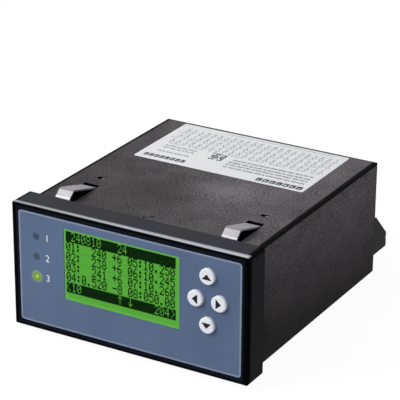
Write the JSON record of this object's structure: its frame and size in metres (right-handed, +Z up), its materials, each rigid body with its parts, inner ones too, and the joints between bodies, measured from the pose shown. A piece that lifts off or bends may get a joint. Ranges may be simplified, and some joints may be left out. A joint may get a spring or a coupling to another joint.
{
  "type": "earth fault detector",
  "caption": "Panel-mounting earth fault detector: black moulded case, blue front foil, backlit display, round arrow keys, status lamps, spring clips and plug-in rear terminals.",
  "frame": {"origin": "centre of the panel cut-out, in the plane of the front frame's rear face, which lies against the panel", "axes": "+X to the right as seen from the front, +Y to the rear through the panel, +Z up"},
  "size_m": [0.096, 0.1183, 0.0526],
  "materials": {
    "case_plastic": "spark-eroded texture, black",
    "frame_plastic": "satin black",
    "foil_blue": "satin polyester film",
    "clear_window": "clear",
    "lcd_green": "lit",
    "lcd_ink": "dark segments",
    "diffuser": "milky",
    "board_green": "solder mask",
    "zinc_steel": "zinc plated",
    "spring_steel": "rolled strip",
    "key_white": "satin white",
    "ink_black": "print",
    "ink_white": "print",
    "lens_dark": "smoked",
    "lens_lit": "lit yellow-green",
    "plate_white": "satin film",
    "component_black": "moulded",
    "plug_black": "moulded",
    "component_blue": "potted case",
    "sleeve_dark": "shrink sleeve",
    "tinned_brass": "tinned",
    "fuse_body": "ceramic"
  },
  "bodies": {
    "instrument": {"bezel": "frame_plastic", "front_foil": "foil_blue", "display_window": "clear_window", "lcd_glass": "lcd_green", "lcd_marks": "lcd_ink", "backlight": "diffuser", "lcd_holder": "diffuser", "front_board": "board_green", "board_screws": "zinc_steel", "key_switches": "component_black", "lamp_upper": "lens_dark", "lamp_middle": "lens_dark", "lamp_lower": "lens_lit", "lamp_leds": "fuse_body", "lamp_numbers": "ink_white", "housing": "case_plastic", "type_plate": "plate_white", "type_plate_print": "ink_black", "main_board": "board_green", "upper_board": "board_green", "board_spacers": "tinned_brass", "front_link": "component_black", "board_link": "component_black", "headers": "component_black", "header_pins": "tinned_brass", "power_transformer": "component_black", "input_transformers": "component_blue", "relays": "component_blue", "capacitors": "sleeve_dark", "fuse": "fuse_body", "fuse_clips": "tinned_brass", "processor": "component_black", "memory_chips": "component_black", "battery": "zinc_steel", "battery_holder": "component_black", "earth_stud": "tinned_brass", "earth_washer": "zinc_steel", "earth_nut": "tinned_brass"},
    "key_up": {"key_up": "key_white", "arrow_up": "ink_black"},
    "key_down": {"key_down": "key_white", "arrow_down": "ink_black"},
    "key_left": {"key_left": "key_white", "arrow_left": "ink_black"},
    "key_right": {"key_right": "key_white", "arrow_right": "ink_black"},
    "clip_top_left": {"clip_top_left": "spring_steel"},
    "clip_top_right": {"clip_top_right": "spring_steel"},
    "clip_bottom_left": {"clip_bottom_left": "spring_steel"},
    "clip_bottom_right": {"clip_bottom_right": "spring_steel"},
    "plug_left": {"plug_left": "plug_black", "screws_left": "zinc_steel", "clamps_left": "tinned_brass"},
    "plug_middle": {"plug_middle": "plug_black", "screws_middle": "zinc_steel", "clamps_middle": "tinned_brass"},
    "plug_right": {"plug_right": "plug_black", "screws_right": "zinc_steel", "clamps_right": "tinned_brass"}
  },
  "joints": [
    {"name": "key_up_press", "type": "slide", "parent": "instrument", "child": "key_up", "axis": [0, 1, 0], "range_m": [0, 0.0006], "stiffness_N_per_m": 1500, "springref_m": -0.0004},
    {"name": "key_down_press", "type": "slide", "parent": "instrument", "child": "key_down", "axis": [0, 1, 0], "range_m": [0, 0.0006], "stiffness_N_per_m": 1500, "springref_m": -0.0004},
    {"name": "key_left_press", "type": "slide", "parent": "instrument", "child": "key_left", "axis": [0, 1, 0], "range_m": [0, 0.0006], "stiffness_N_per_m": 1500, "springref_m": -0.0004},
    {"name": "key_right_press", "type": "slide", "parent": "instrument", "child": "key_right", "axis": [0, 1, 0], "range_m": [0, 0.0006], "stiffness_N_per_m": 1500, "springref_m": -0.0004},
    {"name": "clip_top_left_flex", "type": "hinge", "parent": "instrument", "child": "clip_top_left", "pos_m": [-0.0337, 0.0265, 0.01985], "axis": [1, 0, 0], "range_deg": [0, 9.8], "stiffness_Nm_per_rad": 1.1, "springref_deg": -3.44},
    {"name": "clip_top_right_flex", "type": "hinge", "parent": "instrument", "child": "clip_top_right", "pos_m": [0.0337, 0.0265, 0.01985], "axis": [1, 0, 0], "range_deg": [0, 9.8], "stiffness_Nm_per_rad": 1.1, "springref_deg": -3.44},
    {"name": "clip_bottom_left_flex", "type": "hinge", "parent": "instrument", "child": "clip_bottom_left", "pos_m": [-0.0337, 0.0265, -0.01985], "axis": [-1, 0, 0], "range_deg": [0, 9.8], "stiffness_Nm_per_rad": 1.1, "springref_deg": -3.44},
    {"name": "clip_bottom_right_flex", "type": "hinge", "parent": "instrument", "child": "clip_bottom_right", "pos_m": [0.0337, 0.0265, -0.01985], "axis": [-1, 0, 0], "range_deg": [0, 9.8], "stiffness_Nm_per_rad": 1.1, "springref_deg": -3.44},
    {"name": "plug_left_pull", "type": "slide", "parent": "instrument", "child": "plug_left", "axis": [0, 1, 0], "range_m": [0, 0.012]},
    {"name": "plug_middle_pull", "type": "slide", "parent": "instrument", "child": "plug_middle", "axis": [0, 1, 0], "range_m": [0, 0.012]},
    {"name": "plug_right_pull", "type": "slide", "parent": "instrument", "child": "plug_right", "axis": [0, 1, 0], "range_m": [0, 0.012]}
  ]
}
